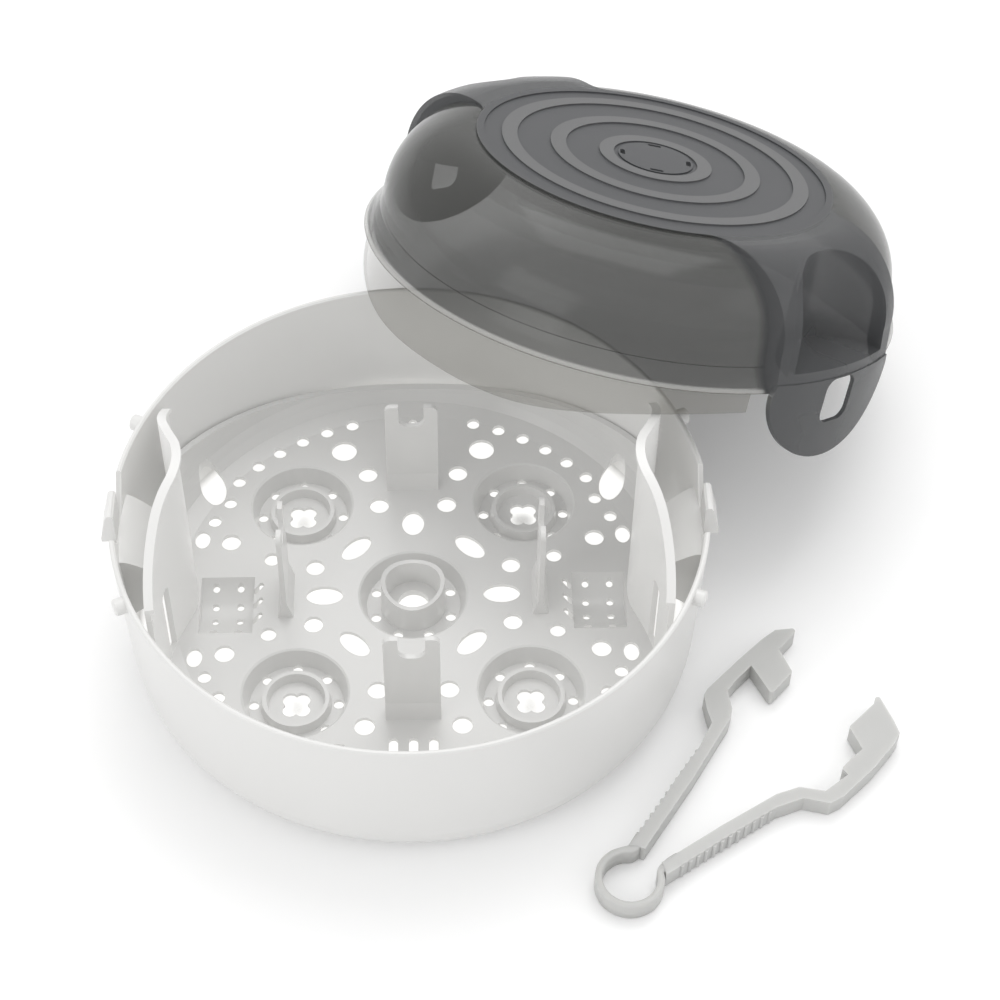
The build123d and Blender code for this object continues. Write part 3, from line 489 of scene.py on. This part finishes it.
def strip_piece(name, stations):
    """A strip standing on edge along a line, with rounded edges."""
    made = bmesh.new()
    rings = []
    for place, (x, y, thick) in enumerate(stations):
        ahead = stations[min(place + 1, len(stations) - 1)]
        behind = stations[max(place - 1, 0)]
        run = Vector((ahead[0] - behind[0], ahead[1] - behind[1])).normalized()
        side = Vector((-run.y, run.x))
        half = thick / 2
        flat = half - STRIP_EDGE
        low_side = STRIP_LOW + STRIP_EDGE
        high_side = STRIP_HIGH - STRIP_EDGE
        section = [(-half, low_side), (-flat, STRIP_LOW), (flat, STRIP_LOW), (half, low_side),
                   (half, high_side), (flat, STRIP_HIGH), (-flat, STRIP_HIGH), (-half, high_side)]
        rings.append([made.verts.new((x + side.x * out, y + side.y * out, up)) for out, up in section])
    for one, two in zip(rings, rings[1:]):
        for k in range(8):
            made.faces.new((one[k], one[(k + 1) % 8], two[(k + 1) % 8], two[k]))
    made.faces.new(list(reversed(rings[0])))
    made.faces.new(rings[-1])
    piece = tongs_piece(made, name)
    for polygon in piece.data.polygons:
        polygon.use_smooth = True
    return piece


spring_loop = strip_piece("bent_spring_loop", smooth_line(loop_stations(), LOOP_STEPS))
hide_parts("tongs_spring_loop")
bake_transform(spring_loop)


# The grips: a row of low rounded ribs on the outer face of each arm, moulded with the strip.
# They run across the strip from just inside one edge to just inside the other.
RIB_PROUD = 0.0008
RIB_PITCH = 0.0046
RIB_INSET = 0.0003       # from the strip's two edges
# Along the arm and out from it
RIB_PROFILE = [(-0.0014, -0.0004), (-0.0010, 0.0002), (-0.0004, RIB_PROUD * 0.9), (0.0002, RIB_PROUD),
               (0.0010, 0.0002), (0.0014, -0.0004)]


def grip_ribs(name, start, end, body):
    """A row of low rounded ribs that stand on an arm's outer face."""
    made = bmesh.new()
    run = Vector(end) - Vector(start)
    count = int(run.length / RIB_PITCH)
    run.normalize()
    out = Vector((run.y, -run.x))
    for k in range(count):
        middle = Vector(start) + run * (k + 0.5) * RIB_PITCH
        rows = []
        for up in (STRIP_LOW + RIB_INSET, STRIP_HIGH - RIB_INSET):
            places = [middle + run * along_it + out * proud for along_it, proud in RIB_PROFILE]
            rows.append([made.verts.new((*place, up)) for place in places])
        for a, b in zip(range(5), range(1, 6)):
            made.faces.new((rows[0][a], rows[0][b], rows[1][b], rows[1][a]))
        made.faces.new((rows[0][5], rows[0][0], rows[1][0], rows[1][5]))
        made.faces.new(list(reversed(rows[0])))
        made.faces.new(rows[1])
    piece = tongs_piece(made, name)
    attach(piece, body)


grip_ribs("fixed_arm_ribs", (0.1341, -0.0866), (0.1020, -0.1330), "tongs")
grip_ribs("moving_arm_ribs", (0.1195, -0.1507), (0.1680, -0.1195), "tongs_arm")


# The studio: a pale seamless floor, lit by an even white surround and three large soft lamps.
# The floor keeps the soft shadows and goes to white for the camera.
FLOOR_HALF = 6.0
FLOOR_Z = -0.0004
FLOOR_PAINT = (0.93, 0.93, 0.93, 1)
FLOOR_LIFT = 0.08        # the floor's own light, which only the camera sees
floor_mesh = bpy.data.meshes.new("studio_floor")
floor_corners = [(x * FLOOR_HALF, y * FLOOR_HALF, FLOOR_Z) for x, y in ((-1, -1), (1, -1), (1, 1), (-1, 1))]
floor_mesh.from_pydata(floor_corners, [], [(0, 1, 2, 3)])
floor = bpy.data.objects.new("studio_floor", floor_mesh)
bpy.context.scene.collection.objects.link(floor)
floor_paint = bpy.data.materials.new("studio_floor_paint")
floor_paint.use_nodes = True
floor_shader = floor_paint.node_tree.nodes["Principled BSDF"]
floor_shader.inputs["Base Color"].default_value = FLOOR_PAINT
floor_shader.inputs["Roughness"].default_value = 0.9
floor_shader.inputs["Specular IOR Level"].default_value = 0.1
floor_tree = floor_paint.node_tree
floor_path = floor_tree.nodes.new("ShaderNodeLightPath")
floor_lift = math_node(floor_tree, "MULTIPLY", floor_path.outputs["Is Camera Ray"], FLOOR_LIFT)
floor_shader.inputs["Emission Color"].default_value = (1, 1, 1, 1)
floor_tree.links.new(floor_lift, floor_shader.inputs["Emission Strength"])
floor_mesh.materials.append(floor_paint)

SURROUND_LIGHT = 0.8
world = bpy.data.worlds.new("studio_surround")
bpy.context.scene.world = world
world.use_nodes = True
surround = world.node_tree.nodes["Background"]
surround.inputs["Color"].default_value = (1, 1, 1, 1)
surround.inputs["Strength"].default_value = SURROUND_LIGHT


def soft_lamp(name, place, aim, size, power):
    """A large square lamp that looks at a point."""
    data = bpy.data.lights.new(name, "AREA")
    data.size = size
    data.energy = power
    lamp = bpy.data.objects.new(name, data)
    lamp.location = place
    lamp.rotation_euler = (Vector(aim) - Vector(place)).to_track_quat("-Z", "Y").to_euler()
    bpy.context.scene.collection.objects.link(lamp)
    return lamp


LAMP_AIM = (0, 0, 0.05)
soft_lamp("overhead_softbox", (0.3, 0.9, 1.8), LAMP_AIM, 1.4, 14)
soft_lamp("side_softbox", (1.7, -0.3, 1.0), LAMP_AIM, 1.2, 2.5)
soft_lamp("left_softbox", (-1.3, -1.1, 1.0), LAMP_AIM, 1.2, 7)

# The camera stands in front and looks down at about fifty degrees, as the photographer did.
VIEW_FROM = Vector((0.0154, -0.6655, 0.9031))
VIEW_ALONG = Vector((0.0251, 0.6332, -0.7736)).normalized()
VIEW_UP = Vector((0.0134, 0.7736, 0.6336))
LENS_PER_FRAME = 2.2541  # focal length as a share of the frame's width
view_right = VIEW_ALONG.cross(VIEW_UP).normalized()
view_up = view_right.cross(VIEW_ALONG)
camera_data = bpy.data.cameras.new("photo_camera")
camera_data.sensor_width = 36.0
camera_data.lens = camera_data.sensor_width * LENS_PER_FRAME
camera = bpy.data.objects.new("photo_camera", camera_data)
turn = Matrix((view_right, view_up, -VIEW_ALONG)).transposed()
camera.matrix_world = Matrix.Translation(VIEW_FROM) @ turn.to_4x4()
bpy.context.scene.collection.objects.link(camera)
bpy.context.scene.camera = camera
bpy.context.scene.view_settings.view_transform = "Standard"
